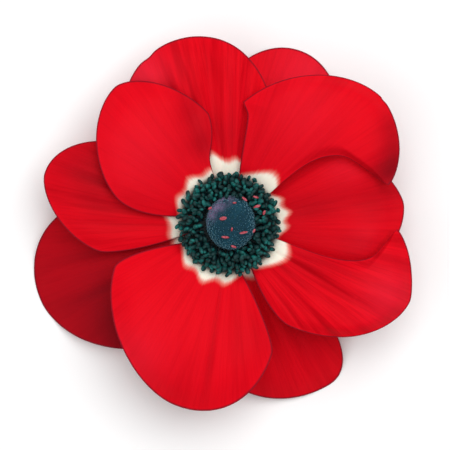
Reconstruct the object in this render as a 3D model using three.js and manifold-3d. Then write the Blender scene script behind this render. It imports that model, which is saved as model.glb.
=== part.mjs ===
// Anemone flower head, face up, picked with a short piece of its stalk.
// Millimetres, +Z up. The flower's axis is vertical; the stalk's cut end and the three drooping
// back tepals touch z = 0. The origin is under the middle of the whole flower's outline.
//
// Every tepal is a thin sheet over a plan outline. The outline is a rounded blade, given by its
// length, its two half widths and how blunt or tapered it is; the height of the sheet is a
// midrib curve plus cupping, a rolled margin, radial pleats and a few broad swellings.
import * as THREE from 'three';
import Module from 'manifold-3d';
import { mergeVertices } from 'three/addons/utils/BufferGeometryUtils.js';

const wasm = await Module();
wasm.setup();

// ---- driving dimensions -------------------------------------------------------------------

const AXIS_X = 1.665; // the flower's axis, measured from the middle of the outline
const AXIS_Y = -0.22;

const TEPAL_THICKNESS = 0.5;
const MARGIN_THICKNESS_SHARE = 0.6; // the margin is thinner than the rest
const TEPAL_BASE_RADIUS = 4.2; // where the tepals leave the receptacle
const CLAW_HALF_WIDTH = 3.2; // of the narrow part that a tepal grows from
const TEPAL_SECTORS = 26; // steps round a tepal's margin
const TEPAL_RINGS = [0.3, 0.6, 0.84, 1.0]; // shares of the way out to the margin
const MARGIN_FROM = 0.6; // share of the way out at which the margin starts to roll

const STALK_RADIUS = 2.1;
const STALK_WAIST_RADIUS = 2.0; // halfway up the cut piece
const STALK_FLARE_HEIGHT = 5.6; // where the stalk starts to widen into the receptacle
const RECEPTACLE_THROAT_RADIUS = 3.0;
const RECEPTACLE_THROAT_HEIGHT = 7.2;
const RECEPTACLE_RADIUS = 3.8; // at the tepals
const RECEPTACLE_NECK_BOTTOM = 8.6;
const RECEPTACLE_NECK_TOP = 11.0; // the tepals are below this, the stamens above
const RECEPTACLE_RIM_RADIUS = 6.9; // under the stamens
const RECEPTACLE_RIM_HEIGHT = 12.15;
const RECEPTACLE_TOP = 12.4;

const COLLAR_WIDTH = 0.5; // ring that each whorl of stamens grows from
const COLLAR_HEIGHT = 0.6;
const FILAMENT_RADIUS = 0.16; // at the anther
const FILAMENT_FOOT_RADIUS = 0.21;
const FILAMENT_SIDES = 3;
const ANTHER_LENGTH = 1.5;
const ANTHER_WIDTH = 0.85;

const CARPEL_HEAD_RADII = [5.0, 5.6, 5.2]; // half width, half length and height of the dome
const CARPEL_HEAD_OFFSET = [0.4, 0.3]; // it leans a little to one side of the axis
const CARPEL_HEAD_TURN_DEG = 12; // of its long direction
const CARPEL_HEAD_BOTTOM = 12.7;
const CARPEL_HEAD_UNDERCUT = -1.0; // angle, in radians, at which the egg shape starts

// left and right are seen from the axis looking outwards. A side's "at" is the distance from the
// axis to its widest place, blunt is how square its outer part is, shoulder is how long it stays
// wide inwards, and waist is how far its inner part is pulled in. centre is the place that the
// sheet's rings spread from. midrib is the height at the base, at one third, at two thirds and
// at the tip, as a cubic curve. cup bends the two sides and roll bends the margin down. pleats
// are [depth, number to the radian, phase]. A swelling is [distance, sideways, radius, height].
const TEPALS = [
  {
    name: 'tepal_upper_left', azimuth: 131, length: 35.6, sweep: -0.9, centre: [19, 0],
    left: { width: 13.7, at: 19, blunt: 1.8, shoulder: 0.45, waist: 0 },
    right: { width: 11.2, at: 19.5, blunt: 1.65, shoulder: 0.1, waist: 0 },
    midrib: [10.2, 15.8, 19.8, 15.6], cup: [-0.6, -0.4], roll: 1, pleats: [0.12, 15, 0.4],
    swellings: [[15, -6, 3.4, -1.1], [20.5, -8.5, 3.6, -1.3], [26, 3, 8, 0.9]],
  },
  {
    name: 'tepal_upper_right', azimuth: 47, length: 39.4, sweep: -5, centre: [28, 0],
    left: { width: 15.5, at: 20, blunt: 2, shoulder: 0.1, waist: 2.3 },
    right: { width: 15.8, at: 27.5, blunt: 1.52, shoulder: 0.05, waist: 11 },
    midrib: [10.2, 15.6, 20.8, 16], cup: [-0.9, -0.8], roll: 1.3, pleats: [0.14, 17, 1.1],
    swellings: [[29, 1, 9, 0.9]],
  },
  {
    name: 'tepal_lower_right', azimuth: 331, length: 39.2, sweep: 4, centre: [29, -1],
    left: { width: 13.2, at: 30, blunt: 1.3, shoulder: 0.05, waist: 8 },
    right: { width: 12.8, at: 20.5, blunt: 2.15, shoulder: 0.3, waist: 0 },
    midrib: [10.2, 15.2, 20.4, 15.6], cup: [-0.8, -0.8], roll: 1.2, pleats: [0.3, 24, 0.2],
    swellings: [[31, 6, 7, 0.9], [17, -2, 6, -0.5]],
  },
  {
    name: 'tepal_bottom', azimuth: 245, length: 37.5, sweep: 4.5, centre: [19, 0],
    left: { width: 17.8, at: 20, blunt: 2, shoulder: 0.22, waist: 0 },
    right: { width: 17.8, at: 17.5, blunt: 1.78, shoulder: 0.25, waist: 0 },
    midrib: [10.2, 15.6, 20.6, 14.4], cup: [-0.7, -0.9], roll: 1.2, pleats: [0.12, 19, 2],
    swellings: [[22, -9, 8, 0.8], [24, 10, 7, 0.5]],
  },
  {
    name: 'tepal_top', azimuth: 104, length: 38.5, sweep: 0, centre: [22, 0],
    left: { width: 15.7, at: 22, blunt: 2.1, shoulder: 0.1, waist: 2.5 },
    right: { width: 14.2, at: 22, blunt: 2.1, shoulder: 0.35, waist: 0 },
    midrib: [9.3, 12.2, 15.4, 12.8], cup: [-0.2, -0.4], roll: 0.7, pleats: [0.42, 20, 0.9],
    swellings: [[31, 9, 6, 1]],
  },
  {
    name: 'tepal_right', azimuth: 11, length: 35.5, sweep: -2.6, centre: [22, 0],
    left: { width: 11.5, at: 24.5, blunt: 1.6, shoulder: 0.44, waist: 0 },
    right: { width: 13.3, at: 22.5, blunt: 1.65, shoulder: 0.1, waist: 0 },
    midrib: [9.3, 11, 16.4, 10.6], cup: [-0.2, -0.2], roll: 0.8, pleats: [0.12, 14, 0],
    swellings: [[27, 5, 4.5, 1.4], [27, -8, 4.5, 1.2], [16, 0, 6, -0.8]],
  },
  {
    name: 'tepal_left', azimuth: 166, length: 38.5, sweep: -0.7, centre: [23, 0],
    left: { width: 11.8, at: 24, blunt: 1.65, shoulder: 0.2, waist: 0 },
    right: { width: 10.4, at: 23, blunt: 2, shoulder: 0.1, waist: 1.5 },
    midrib: [9.3, 12, 15.2, 11.4], cup: [-0.4, -0.2], roll: 0.8, pleats: [0.16, 16, 1.6],
    swellings: [[28, -4, 6, 0.7]],
  },
  {
    name: 'tepal_back_top', azimuth: 65, length: 38.6, sweep: 0.6, centre: [21, 0],
    left: { width: 12.8, at: 23, blunt: 2.05, shoulder: 0.35, waist: 0 },
    right: { width: 12.7, at: 22, blunt: 2, shoulder: 0.35, waist: 0 },
    midrib: [8.4, 10.4, 9.6, 0.53], cup: [-0.8, -0.8], roll: 0.5, pleats: [0.2, 18, 0.5],
    swellings: [],
  },
  {
    name: 'tepal_back_right', azimuth: 298, length: 38.9, sweep: 1.9, centre: [22, -2],
    left: { width: 8, at: 26, blunt: 2.4, shoulder: 0.35, waist: 0 },
    right: { width: 16.1, at: 25, blunt: 2.05, shoulder: 0.35, waist: 0 },
    midrib: [8.4, 10.4, 9.6, 0.72], cup: [-0.8, -0.8], roll: 0.5, pleats: [0.2, 18, 1.5],
    swellings: [],
  },
  {
    name: 'tepal_back_left', azimuth: 203, length: 41.7, sweep: -0.6, centre: [22, 0],
    left: { width: 17.9, at: 18, blunt: 1.9, shoulder: 0.35, waist: 0 },
    right: { width: 15.8, at: 25, blunt: 2.15, shoulder: 0.35, waist: 0 },
    midrib: [8.4, 10.4, 9.2, 0.51], cup: [-0.8, -0.8], roll: 0.5, pleats: [0.2, 17, 2.4],
    swellings: [],
  },
];

// Whorls of stamens from the inside out: where each starts, how far it leans out and how many.
const WHORLS = [
  { name: 'stamens_inner', collar: 5.3, count: 24, reach: [6.6, 7.3], top: [16.0, 17.0] },
  { name: 'stamens_middle', collar: 6.1, count: 30, reach: [8.1, 8.9], top: [15.5, 16.5] },
  { name: 'stamens_outer', collar: 6.9, count: 36, reach: [9.6, 10.4], top: [14.5, 15.4] },
];
const WHORL_FLOOR = 12.7; // underside of the collars

// ---- materials ----------------------------------------------------------------------------

function petalMaterial(color) {
  return new THREE.MeshStandardMaterial({ color, roughness: 0.6, metalness: 0 });
}

function stamenMaterial() {
  return new THREE.MeshStandardMaterial({ color: 0x0b2b2d, roughness: 0.7, metalness: 0 });
}

function carpelMaterial() {
  return new THREE.MeshStandardMaterial({ color: 0x1b3f54, roughness: 0.85, metalness: 0 });
}

function stalkMaterial() {
  return new THREE.MeshStandardMaterial({ color: 0x6f8248, roughness: 0.8, metalness: 0 });
}

// ---- helpers ------------------------------------------------------------------------------

function smoothstep(from, to, x) {
  const t = Math.min(Math.max((x - from) / (to - from), 0), 1);
  return t * t * (3 - 2 * t);
}

// A value from 0 to 1 that looks unordered but is the same every time.
function scatter(i, seed) {
  const x = Math.sin(i * 12.9898 + seed * 78.233) * 43758.5453;
  return x - Math.floor(x);
}

function geometryFrom(points, triangles) {
  const geometry = new THREE.BufferGeometry();
  geometry.setAttribute('position', new THREE.Float32BufferAttribute(points.flat(), 3));
  geometry.setIndex(triangles.flat());
  geometry.computeVertexNormals();
  return geometry;
}

function toSolid(geometry) {
  const bare = geometry.clone();
  bare.deleteAttribute('normal');
  bare.deleteAttribute('uv');
  const merged = mergeVertices(bare, 1e-5);
  return new wasm.Manifold(new wasm.Mesh({
    numProp: 3,
    vertProperties: new Float32Array(merged.attributes.position.array),
    triVerts: new Uint32Array(merged.index.array),
  }));
}

function fromSolid(solid) {
  const mesh = solid.getMesh();
  const geometry = new THREE.BufferGeometry();
  geometry.setAttribute('position', new THREE.Float32BufferAttribute(mesh.vertProperties, 3));
  geometry.setIndex(new THREE.Uint32BufferAttribute(mesh.triVerts, 1));
  geometry.computeVertexNormals();
  return geometry;
}

// ---- tepals -------------------------------------------------------------------------------

// The margin at an angle round the blade, from -pi to pi. Each outer quarter is a superellipse
// about the widest place; each inner quarter is a cubic Bezier curve from there to the claw,
// pulled in at the waist. The whole blade is swept sideways.
function marginPoint(tepal, angle) {
  const c = Math.cos(angle);
  const s = Math.sin(angle);
  const side = s >= 0 ? tepal.left : tepal.right;
  let out = TEPAL_BASE_RADIUS;
  let across = 0;
  if (c >= 0) {
    const power = 2 / side.blunt;
    out = side.at + (tepal.length - side.at) * c ** power;
    across = side.width * Math.abs(s) ** power;
  } else {
    const t = Math.abs(angle) / (Math.PI / 2) - 1;
    const k = 1 - t;
    const shoulder = side.at - side.shoulder * (side.at - TEPAL_BASE_RADIUS);
    out = k ** 3 * side.at + 3 * k * k * t * shoulder
      + (3 * k * t * t + t ** 3) * TEPAL_BASE_RADIUS;
    across = (k ** 3 + 3 * k * k * t) * side.width + 3 * k * t * t * CLAW_HALF_WIDTH
      - side.waist * Math.sin(Math.PI * t ** 0.6) * (1 - t * t);
  }
  const along = (out - TEPAL_BASE_RADIUS) / (tepal.length - TEPAL_BASE_RADIUS);
  return [out, (s >= 0 ? across : -across) + tepal.sweep * along ** 2];
}

// Height of the sheet's middle surface at a distance and sideways place, both in millimetres;
// margin is the share of the way out to the margin.
function tepalHeight(tepal, out, across, margin) {
  const [z0, z1, z2, z3] = tepal.midrib;
  const t = Math.max((out - TEPAL_BASE_RADIUS) / (tepal.length - TEPAL_BASE_RADIUS), 0);
  const k = 1 - t;
  const midrib = k ** 3 * z0 + 3 * k * k * t * z1 + 3 * k * t * t * z2 + t ** 3 * z3;
  const side = across >= 0 ? tepal.left : tepal.right;
  const cupping = tepal.cup[across >= 0 ? 0 : 1] * (across / side.width) ** 2;
  const roll = -tepal.roll * smoothstep(MARGIN_FROM, 1, margin) ** 2 * smoothstep(0.15, 0.6, t);
  const [depth, count, phase] = tepal.pleats;
  const fan = Math.atan2(across, out + 2);
  const pleats = depth * Math.sin(count * fan + phase) * smoothstep(0.1, 0.45, t);
  let height = midrib + cupping + roll + pleats;
  for (const [x, y, radius, rise] of tepal.swellings) {
    height += rise * Math.exp(-((out - x) ** 2 + (across - y) ** 2) / radius ** 2);
  }
  return height;
}

function tepalGeometry(tepal) {
  const { centre } = tepal;
  const azimuth = THREE.MathUtils.degToRad(tepal.azimuth);
  const place = (out, across, z) => [
    out * Math.cos(azimuth) - across * Math.sin(azimuth),
    out * Math.sin(azimuth) + across * Math.cos(azimuth),
    z,
  ];
  const upper = [];
  const lower = [];
  const add = (out, across, share) => {
    const z = tepalHeight(tepal, out, across, share);
    const half = (TEPAL_THICKNESS / 2) * (share === 1 ? MARGIN_THICKNESS_SHARE : 1);
    upper.push(place(out, across, z + half));
    lower.push(place(out, across, z - half));
  };
  add(centre[0], centre[1], 0);
  for (const share of TEPAL_RINGS) {
    for (let j = 0; j < TEPAL_SECTORS; j++) {
      const [out, across] = marginPoint(tepal, (2 * Math.PI * j) / TEPAL_SECTORS - Math.PI);
      add(
        centre[0] + (out - centre[0]) * share,
        centre[1] + (across - centre[1]) * share,
        share,
      );
    }
  }
  const first = upper.length;
  const triangles = [];
  const face = (a, b, c) => {
    triangles.push([a, b, c]);
    triangles.push([first + a, first + c, first + b]);
  };
  const at = (ring, j) => 1 + ring * TEPAL_SECTORS + (j % TEPAL_SECTORS);
  const outer = TEPAL_RINGS.length - 1;
  for (let j = 0; j < TEPAL_SECTORS; j++) {
    face(0, at(0, j), at(0, j + 1));
    for (let ring = 0; ring < outer; ring++) {
      face(at(ring, j), at(ring + 1, j), at(ring + 1, j + 1));
      face(at(ring, j), at(ring + 1, j + 1), at(ring, j + 1));
    }
    const a = at(outer, j);
    const b = at(outer, j + 1);
    triangles.push([a, first + a, first + b]);
    triangles.push([a, first + b, b]);
  }
  return geometryFrom([...upper, ...lower], triangles);
}

// ---- stamens, carpel head and stalk -------------------------------------------------------

function collarGeometry(radius) {
  const profile = [
    new THREE.Vector2(radius - COLLAR_WIDTH / 2, 0),
    new THREE.Vector2(radius + COLLAR_WIDTH / 2, 0),
    new THREE.Vector2(radius + COLLAR_WIDTH / 2, COLLAR_HEIGHT),
    new THREE.Vector2(radius - COLLAR_WIDTH / 2, COLLAR_HEIGHT),
    new THREE.Vector2(radius - COLLAR_WIDTH / 2, 0),
  ];
  const ring = new THREE.LatheGeometry(profile, 36);
  ring.rotateX(Math.PI / 2);
  ring.translate(0, 0, WHORL_FLOOR);
  return ring;
}

// One stamen in the plane of the axis: a filament that leans out, and the anther at its end.
function stamenSolid(azimuth, start, reach, top) {
  const foot = new THREE.Vector3(start, 0, WHORL_FLOOR + COLLAR_HEIGHT / 2);
  const tip = new THREE.Vector3(reach, 0, top);
  const along = new THREE.Vector3().subVectors(tip, foot);
  const turn = new THREE.Quaternion().setFromUnitVectors(
    new THREE.Vector3(0, 1, 0),
    along.clone().normalize(),
  );
  const filament = new THREE.CylinderGeometry(
    FILAMENT_RADIUS, FILAMENT_FOOT_RADIUS, along.length(), FILAMENT_SIDES,
  );
  filament.translate(0, along.length() / 2, 0);
  filament.applyQuaternion(turn);
  filament.translate(foot.x, foot.y, foot.z);
  const anther = new THREE.SphereGeometry(ANTHER_WIDTH / 2, 4, 2);
  anther.scale(1, ANTHER_LENGTH / ANTHER_WIDTH, 1);
  anther.applyQuaternion(turn);
  anther.translate(tip.x, tip.y, tip.z);
  for (const piece of [filament, anther]) {
    piece.rotateZ(azimuth);
  }
  return toSolid(filament).add(toSolid(anther));
}

function whorlGeometry(whorl, seed) {
  const solids = [toSolid(collarGeometry(whorl.collar))];
  for (let i = 0; i < whorl.count; i++) {
    const azimuth = (2 * Math.PI * (i + 0.3 * scatter(i, seed))) / whorl.count;
    const reach = THREE.MathUtils.lerp(...whorl.reach, scatter(i, seed + 1));
    const top = THREE.MathUtils.lerp(...whorl.top, scatter(i, seed + 2));
    solids.push(stamenSolid(azimuth, whorl.collar, reach, top));
  }
  return fromSolid(wasm.Manifold.union(solids));
}

// A low egg-shaped dome with a flat underside.
function carpelHeadGeometry() {
  const [halfWidth, halfLength, height] = CARPEL_HEAD_RADII;
  const profile = [new THREE.Vector2(0, 0)];
  const steps = 8;
  const low = Math.sin(CARPEL_HEAD_UNDERCUT);
  for (let i = 0; i < steps; i++) {
    const angle = THREE.MathUtils.lerp(CARPEL_HEAD_UNDERCUT, Math.PI / 2, i / steps);
    profile.push(new THREE.Vector2(Math.cos(angle), (Math.sin(angle) - low) / (1 - low)));
  }
  profile.push(new THREE.Vector2(0, 1));
  const dome = new THREE.LatheGeometry(profile, 24);
  dome.rotateX(Math.PI / 2);
  dome.scale(halfWidth, halfLength, height);
  dome.rotateZ(THREE.MathUtils.degToRad(CARPEL_HEAD_TURN_DEG));
  dome.translate(CARPEL_HEAD_OFFSET[0], CARPEL_HEAD_OFFSET[1], CARPEL_HEAD_BOTTOM);
  return dome;
}

// The cut stalk widens into the receptacle, which everything else grows from.
function stalkGeometry() {
  const profile = [
    new THREE.Vector2(0, 0),
    new THREE.Vector2(STALK_RADIUS, 0),
    new THREE.Vector2(STALK_WAIST_RADIUS, STALK_FLARE_HEIGHT / 2),
    new THREE.Vector2(STALK_RADIUS, STALK_FLARE_HEIGHT),
    new THREE.Vector2(RECEPTACLE_THROAT_RADIUS, RECEPTACLE_THROAT_HEIGHT),
    new THREE.Vector2(RECEPTACLE_RADIUS, RECEPTACLE_NECK_BOTTOM),
    new THREE.Vector2(RECEPTACLE_RADIUS, RECEPTACLE_NECK_TOP),
    new THREE.Vector2(RECEPTACLE_RIM_RADIUS, RECEPTACLE_RIM_HEIGHT),
    new THREE.Vector2(RECEPTACLE_RIM_RADIUS, RECEPTACLE_TOP),
    new THREE.Vector2(0, RECEPTACLE_TOP),
  ];
  const stalk = new THREE.LatheGeometry(profile, 20);
  stalk.rotateX(Math.PI / 2);
  return stalk;
}

// ---- assembly -----------------------------------------------------------------------------

function addPiece(parent, name, geometry, material) {
  const mesh = new THREE.Mesh(geometry, material);
  mesh.name = name;
  parent.add(mesh);
}

const group = new THREE.Group();
const flower = new THREE.Group();
flower.position.set(AXIS_X, AXIS_Y, 0);
group.add(flower);

addPiece(flower, 'stalk', stalkGeometry(), stalkMaterial());
addPiece(flower, 'carpel_head', carpelHeadGeometry(), carpelMaterial());
WHORLS.forEach((whorl, i) => {
  addPiece(flower, whorl.name, whorlGeometry(whorl, 10 * i), stamenMaterial());
});
for (const tepal of TEPALS) {
  addPiece(flower, tepal.name, tepalGeometry(tepal), petalMaterial(0xd81c28));
}

export default group;
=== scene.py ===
"""Anemone flower head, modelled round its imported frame.

The tepals, stamens, carpel head and stalk are worked out as surfaces in millimetres, with the
flower's axis at (0, 0), and put into their meshes in metres where the frame has them.
"""

import math

import bpy
import numpy as np
from bpy.props import FloatProperty, FloatVectorProperty, IntProperty, PointerProperty
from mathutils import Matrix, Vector


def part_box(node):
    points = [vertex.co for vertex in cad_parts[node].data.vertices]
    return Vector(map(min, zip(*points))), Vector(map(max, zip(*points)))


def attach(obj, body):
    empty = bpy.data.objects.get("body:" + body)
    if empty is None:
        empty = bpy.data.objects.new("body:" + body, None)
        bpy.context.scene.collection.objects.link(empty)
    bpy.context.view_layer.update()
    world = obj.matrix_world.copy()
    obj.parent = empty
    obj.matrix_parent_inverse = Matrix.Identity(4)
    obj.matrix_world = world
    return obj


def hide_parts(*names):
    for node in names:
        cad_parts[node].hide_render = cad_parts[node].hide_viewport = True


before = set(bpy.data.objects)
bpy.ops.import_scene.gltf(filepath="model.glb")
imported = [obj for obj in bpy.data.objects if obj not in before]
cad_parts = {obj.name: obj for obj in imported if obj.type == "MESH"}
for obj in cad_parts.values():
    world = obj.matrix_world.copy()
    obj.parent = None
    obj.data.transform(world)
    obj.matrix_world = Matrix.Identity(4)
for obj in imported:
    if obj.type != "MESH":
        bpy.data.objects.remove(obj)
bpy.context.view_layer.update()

bl_info = {
    "name": "Anemone Flower",
    "version": (1, 0, 0),
    "blender": (4, 5, 0),
    "location": "View3D > Sidebar > Anemone",
    "description": "Builds an open anemone flower head round its packed frame",
    "category": "Object",
}

MM = 0.001
BODY = "root"


def plan_middle(node):
    """Plan middle of a node of the frame, in millimetres."""
    low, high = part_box(node)
    return (low[0] + high[0]) / 2 / MM, (low[1] + high[1]) / 2 / MM


AXIS_X, AXIS_Y = plan_middle("stalk")
HEAD_X, HEAD_Y = plan_middle("carpel_head")
RECEPTACLE_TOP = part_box("stalk")[1][2] / MM

# ---- shapes of the tepals --------------------------------------------------------------------
# Millimetres and degrees; left and right are seen from the axis looking outwards.
# left, right: half width, distance to the widest place, bluntness of the outer part, shoulder
#     of the inner part, and waist; sweep bends the blade sideways
# centre: the place that the sheet's grid spreads from
# midrib: height at the base, at one third, at two thirds and at the tip
# cup, roll: how far the two sides and the margin bend down
# pleats: depth, number to the radian, phase
# swellings: distance, sideways, radius, height
# creases: narrow grooves along the tepal, degrees off its middle, spread, depth
# dents: in the margin, degrees round it, spread, share
# ring: the white base, reach, half width, lobes, lobe depth
# shade: painted shade, a deeper red all over; streak: how strongly the veins show
# painted shade, sheen: patches of deeper and of pinkish red, distance, sideways, radius, strength

BASE_RADIUS = 4.2
CLAW_HALF_WIDTH = 3.2
LOWEST = 0.24  # of a sheet's middle surface, so that its underside stays above the ground
MARGIN_FROM = 0.6  # share of the way out at which the margin starts to roll
TEPAL_SECTORS = 180  # steps of the grid round a tepal, and from its middle to the margin
TEPAL_RINGS = 36


def tepal(**shape):
    """A tepal's numbers, with the usual ones where none are given."""
    usual = dict(sweep=0.0, cup=(-0.8, -0.8), roll=0.5, swellings=[], dents=[],
                 ring=(12.0, 4.0, 1, 0.4), shade=0.0, glow=[])
    return {**usual, **shape}


TEPALS = {
    "tepal_upper_left": tepal(
        azimuth=131, length=35.6, left=(13.7, 19, 1.8, 0.45, 0), right=(11.2, 19.5, 1.65, 0.1, 0),
        sweep=-0.9, centre=(19, 0), midrib=(10.2, 15.8, 19.8, 15.6), cup=(-0.6, -0.4), roll=1.0,
        pleats=(0.12, 15, 0.4),
        swellings=[(15, -6, 3.4, -1.1), (20.5, -8.5, 3.6, -1.3), (26, 3, 8, 0.9)],
        creases=[(-21, 5, 0.55), (-30, 4, 0.5), (9, 3, 0.12), (-5, 2, 0.15)],
        dents=[(-137, 17, 0.16)], ring=(12.1, 7.0, 3, 0.5),
        dusk=[(15, -6, 4, 0.3), (21, -9, 4.5, 0.2), (14, 12, 7, 0.14)], glow=[(22, 4, 8, 0.25)],
        streak=0.3, seed=1),
    "tepal_upper_right": tepal(
        azimuth=47, length=39.4, left=(15.5, 20, 2.0, 0.1, 2.3),
        right=(15.8, 27.5, 1.52, 0.05, 11), sweep=-5.0, centre=(28, 0),
        midrib=(10.2, 15.6, 20.8, 16.0), cup=(-0.9, -0.8), roll=1.3, pleats=(0.14, 17, 1.1),
        swellings=[(29, 1, 9, 0.9)],
        creases=[(24, 3, 0.2), (14, 2, 0.2), (-27, 4, 0.7), (-3, 3, 0.2), (5, 2, 0.15)],
        dents=[(-5, 4, 0.015)], ring=(13.5, 3.7, 1, 0.5),
        dusk=[(14, 6, 6, 0.14), (22, -10, 6, 0.28), (37, -11, 4, 0.4), (33, -15, 4, 0.45),
              (29, -18, 4, 0.5)],
        glow=[(26, 4, 8, 0.2)], streak=0.35, seed=2),
    "tepal_lower_right": tepal(
        azimuth=331, length=39.2, left=(13.2, 30, 1.3, 0.05, 8), right=(12.8, 20.5, 2.15, 0.3, 0),
        sweep=4.0, centre=(29, -1), midrib=(10.2, 15.2, 20.4, 15.6), roll=1.2,
        pleats=(0.3, 24, 0.2), swellings=[(31, 6, 7, 0.9), (17, -2, 6, -0.5)],
        creases=[(-24, 2, 0.3), (-17, 1.6, 0.3), (-9, 2, 0.4), (-2, 1.6, 0.35), (6, 2, 0.4),
                 (13, 2, 0.3)],
        ring=(13.4, 4.0, 1, 0.4), dusk=[(14, 2, 7, 0.16), (20, 4, 6, 0.14)],
        glow=[(35, 3, 6, 0.5)], streak=0.95, seed=3),
    "tepal_bottom": tepal(
        azimuth=245, length=37.5, left=(17.8, 20, 2.0, 0.22, 0), right=(17.8, 17.5, 1.78, 0.25, 0),
        sweep=4.5, centre=(19, 0), midrib=(10.2, 15.6, 20.6, 14.4), cup=(-0.7, -0.9), roll=1.2,
        pleats=(0.12, 19, 2.0), swellings=[(22, -9, 8, 0.8), (24, 10, 7, 0.5)],
        creases=[(16, 1.6, 0.6), (11, 1.5, 0.12), (26, 3, 0.2)], ring=(12.6, 7.0, 3, 0.6),
        dusk=[(18, 15, 6, 0.17), (30, 4, 5, 0.08)], glow=[(32, -6, 7, 0.3)], streak=0.35, seed=4),
    "tepal_top": tepal(
        azimuth=104, length=38.5, left=(15.7, 22, 2.1, 0.1, 2.5), right=(14.2, 22, 2.1, 0.35, 0),
        centre=(22, 0), midrib=(9.3, 12.2, 15.4, 12.8), cup=(-0.2, -0.4), roll=0.7,
        pleats=(0.42, 20, 0.9), swellings=[(31, 9, 6, 1.0)],
        creases=[(-14, 2, 0.55), (-6, 1.6, 0.4), (2, 1.8, 0.5), (9, 1.6, 0.4), (17, 3, 0.5),
                 (-20, 2, 0.4)],
        dents=[(28, 5, 0.02)], ring=(14.6, 5.0, 2, 0.8),
        dusk=[(19, 5, 7, 0.19), (31, 14, 5, 0.19), (17, -5, 5, 0.17)], glow=[(33, 10, 6, 0.7)],
        streak=0.95, seed=5),
    "tepal_right": tepal(
        azimuth=11, length=35.5, left=(11.5, 24.5, 1.6, 0.44, 0), right=(13.3, 22.5, 1.65, 0.1, 0),
        sweep=-2.6, centre=(22, 0), midrib=(9.3, 11.0, 16.4, 10.6), cup=(-0.2, -0.2), roll=0.8,
        pleats=(0.12, 14, 0.0),
        swellings=[(27, 5, 4.5, 1.4), (27, -8, 4.5, 1.2), (16, 0, 6, -0.8)],
        creases=[(0, 8, 0.6), (22, 3, 0.3), (-18, 3, 0.3)], ring=(12.4, 4.6, 3, 0.5), shade=0.03,
        dusk=[(15, 0, 8, 0.18), (34, 2, 5, 0.3), (24, -12, 5, 0.2), (29, -3, 4, 0.15)],
        glow=[(25, 8, 5, 0.3), (26, -8, 4, 0.2)], streak=0.45, seed=6),
    "tepal_left": tepal(
        azimuth=166, length=38.5, left=(11.8, 24, 1.65, 0.2, 0), right=(10.4, 23, 2.0, 0.1, 1.5),
        sweep=-0.7, centre=(23, 0), midrib=(9.3, 12.0, 15.2, 11.4), cup=(-0.4, -0.2), roll=0.8,
        pleats=(0.16, 16, 1.6), swellings=[(28, -4, 6, 0.7)],
        creases=[(-4, 2, 0.35), (5, 2, 0.3), (13, 2, 0.3)], ring=(13.4, 6.0, 2, 0.6), shade=0.05,
        dusk=[(14, -6, 9, 0.2), (31, -5, 7, 0.4), (25, 1, 6, 0.25)], streak=0.6, seed=7),
    "tepal_back_top": tepal(
        azimuth=65, length=38.6, left=(12.8, 23, 2.05, 0.35, 0), right=(12.7, 22, 2, 0.35, 0),
        sweep=0.6, centre=(21, 0), midrib=(8.4, 10.4, 9.6, 0.53), pleats=(0.2, 18, 0.5),
        creases=[(-6, 2, 0.3), (8, 3, 0.3)], dusk=[(32, -12, 6, 0.14)], glow=[(33, -3, 9, 0.6)],
        streak=0.5, seed=8),
    "tepal_back_right": tepal(
        azimuth=298, length=38.9, left=(8, 26, 2.4, 0.35, 0), right=(16.1, 25, 2.05, 0.35, 0),
        sweep=1.9, centre=(22, -2), midrib=(8.4, 10.4, 9.6, 0.72), pleats=(0.2, 18, 1.5),
        creases=[(-8, 2, 0.3), (4, 2, 0.3)], shade=0.08,
        dusk=[(22, 8, 9, 0.22), (34, -12, 7, 0.14)], streak=0.5, seed=9),
    "tepal_back_left": tepal(
        azimuth=203, length=41.7, left=(17.9, 18, 1.9, 0.35, 0), right=(15.8, 25, 2.15, 0.35, 0),
        sweep=-0.6, centre=(22, 0), midrib=(8.4, 10.4, 9.2, 0.51), pleats=(0.2, 17, 2.4),
        creases=[(-10, 2, 0.3), (4, 2, 0.3)], shade=0.5,
        dusk=[(27, 8, 12, 0.35), (24, 16, 8, 0.3)], streak=0.4, seed=10),
}

# Rows of stamens: how far out the anthers stand, their height and how many; the node that each
# row belongs to; where its filaments start.
STAMEN_ROWS = [
    dict(node="stamens_inner", start=5.2, reach=(5.6, 6.1), top=(15.6, 16.6), count=24),
    dict(node="stamens_inner", start=5.2, reach=(6.1, 6.7), top=(16.3, 17.2), count=30),
    dict(node="stamens_inner", start=5.4, reach=(6.7, 7.3), top=(16.0, 17.0), count=34),
    dict(node="stamens_middle", start=5.9, reach=(7.3, 7.9), top=(15.7, 16.7), count=38),
    dict(node="stamens_middle", start=6.2, reach=(7.9, 8.6), top=(15.4, 16.4), count=42),
    dict(node="stamens_outer", start=6.6, reach=(8.6, 9.2), top=(14.9, 15.8), count=46),
    dict(node="stamens_outer", start=6.8, reach=(9.2, 9.8), top=(14.4, 15.3), count=46),
    dict(node="stamens_outer", start=7.0, reach=(9.8, 10.3), top=(14.1, 14.8), count=34),
]


# ---- user settings ---------------------------------------------------------------------------


def length_property(name, description, default):
    """A length in metres with the words a user sees."""
    return FloatProperty(name=name, description=description, default=default, min=0.0,
                         unit="LENGTH", precision=5)


def colour_property(name, description, default):
    """A linear colour with the words a user sees."""
    return FloatVectorProperty(name=name, description=description, default=default, min=0.0,
                               max=1.0, size=3, subtype="COLOR")


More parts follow.
